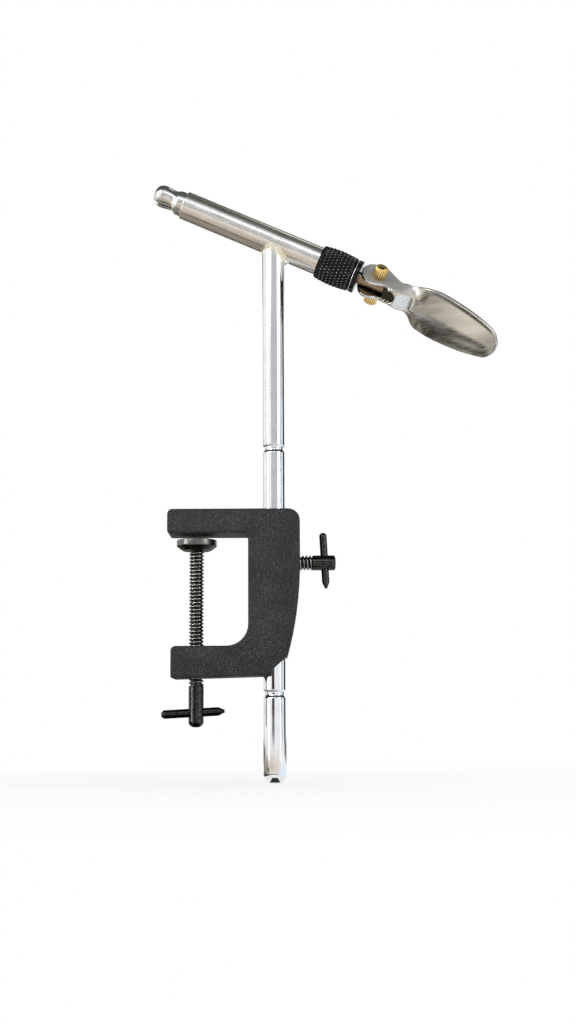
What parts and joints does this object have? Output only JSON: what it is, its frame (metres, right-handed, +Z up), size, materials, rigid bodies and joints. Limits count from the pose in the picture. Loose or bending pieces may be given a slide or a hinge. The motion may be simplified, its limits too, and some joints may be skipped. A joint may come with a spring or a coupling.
{
  "type": "fly tying vise",
  "caption": "Table-clamped hook vise: a C clamp, a sliding stem and a sloping barrel whose split jaws are drawn shut by a spoon-shaped cam lever.",
  "frame": {"origin": "On the clamp's table face, under the upper arm, where the clamp screw's axis meets it", "axes": "+Z up along the stem, +X from the clamp screw to the stem, +Y away from the side that carries the upper nut"},
  "size_m": [0.1485, 0.023, 0.259],
  "materials": {
    "wrinkle_paint": "charcoal wrinkle paint on a casting",
    "black_steel": "glossy black oxide",
    "satin_steel": "satin turned steel",
    "stem_chrome": "polished chrome plate",
    "barrel_nickel": "satin nickel plate",
    "braze": "plated brazing bead",
    "black_collar": "glossy black, diamond knurled",
    "jaw_steel": "polished tool steel",
    "rod_steel": "polished, warm brown",
    "lever_steel": "brushed nickel plate",
    "brass": "turned and fluted brass"
  },
  "bodies": {
    "frame_body": {"clamp_frame": "wrinkle_paint"},
    "pad_body": {"pressure_pad": "satin_steel"},
    "clamp_screw_body": {"clamp_screw": "black_steel"},
    "clamp_bar_body": {"clamp_tommy_bar": "black_steel"},
    "lock_screw_body": {"lock_screw": "black_steel"},
    "lock_bar_body": {"lock_tommy_bar": "black_steel"},
    "stem_body": {"stem": "stem_chrome", "barrel_tube": "barrel_nickel", "braze_bead": "braze", "rear_bush": "satin_steel"},
    "collar_body": {"adjusting_collar": "black_collar"},
    "head_body": {"thrust_washer": "satin_steel", "return_spring": "satin_steel"},
    "draw_body": {"collet_shank": "jaw_steel", "draw_rod": "rod_steel"},
    "upper_jaw_body": {"upper_jaw": "jaw_steel"},
    "lower_jaw_body": {"lower_jaw": "jaw_steel"},
    "lever_body": {"cam_lever": "lever_steel", "cam_pin": "black_steel", "upper_pin_nut": "brass", "lower_pin_nut": "brass"}
  },
  "joints": [
    {"name": "stem_height", "type": "slide", "parent": "frame_body", "child": "stem_body", "axis": [0, 0, 1], "range_m": [-0.0485, 0.0545]},
    {"name": "lock_screw_turn", "type": "hinge", "parent": "frame_body", "child": "lock_screw_body", "pos_m": [0.045, 0, -0.0119], "axis": [1, 0, 0], "range_deg": [0, 720]},
    {"name": "lock_bar_slide", "type": "slide", "parent": "lock_screw_body", "child": "lock_bar_body", "axis": [0.0523, 0, -0.9986], "range_m": [-0.006, 0.0075]},
    {"name": "clamp_travel", "type": "slide", "parent": "frame_body", "child": "pad_body", "axis": [0, 0, 1], "range_m": [-0.04, 0.002]},
    {"name": "clamp_screw_turn", "type": "hinge", "parent": "pad_body", "child": "clamp_screw_body", "pos_m": [0, 0, -0.04], "axis": [0, 0, 1], "range_deg": [-9600, 480]},
    {"name": "clamp_bar_slide", "type": "slide", "parent": "clamp_screw_body", "child": "clamp_bar_body", "axis": [0.9986, 0, 0.0523], "range_m": [-0.006, 0.0085]},
    {"name": "collar_turn", "type": "hinge", "parent": "stem_body", "child": "collar_body", "pos_m": [-0.00607, 0, 0.14664], "axis": [0.9157, 0, -0.4019], "range_deg": [-270, 270]},
    {"name": "head_swivel", "type": "hinge", "parent": "stem_body", "child": "head_body", "pos_m": [-0.00607, 0, 0.14664], "axis": [0.9157, 0, -0.4019], "continuous": true},
    {"name": "collet_draw", "type": "slide", "parent": "head_body", "child": "draw_body", "axis": [0.9157, 0, -0.4019], "range_m": [0, 0.00181]},
    {"name": "cam_lever_turn", "type": "hinge", "parent": "draw_body", "child": "lever_body", "pos_m": [0.07749, 0, 0.10996], "axis": [0.2584, -0.766, 0.5886], "range_deg": [0, 57]},
    {"name": "upper_jaw_close", "type": "hinge", "parent": "draw_body", "child": "upper_jaw_body", "pos_m": [0.01773, 0, 0.13619], "axis": [-0.3823, -0.309, -0.8708], "range_deg": [0, 0.75]},
    {"name": "lower_jaw_close", "type": "hinge", "parent": "draw_body", "child": "lower_jaw_body", "pos_m": [0.01773, 0, 0.13619], "axis": [0.3823, 0.309, 0.8708], "range_deg": [0, 0.75]}
  ],
  "couplings": [
    {"joint": "clamp_screw_turn", "follows": "clamp_travel", "rad_per_m": 4188.8},
    {"joint": "collet_draw", "follows": "cam_lever_turn", "m_per_rad": 0.0018093},
    {"joint": "upper_jaw_close", "follows": "cam_lever_turn", "ratio": 0.013144},
    {"joint": "lower_jaw_close", "follows": "cam_lever_turn", "ratio": 0.013144}
  ]
}
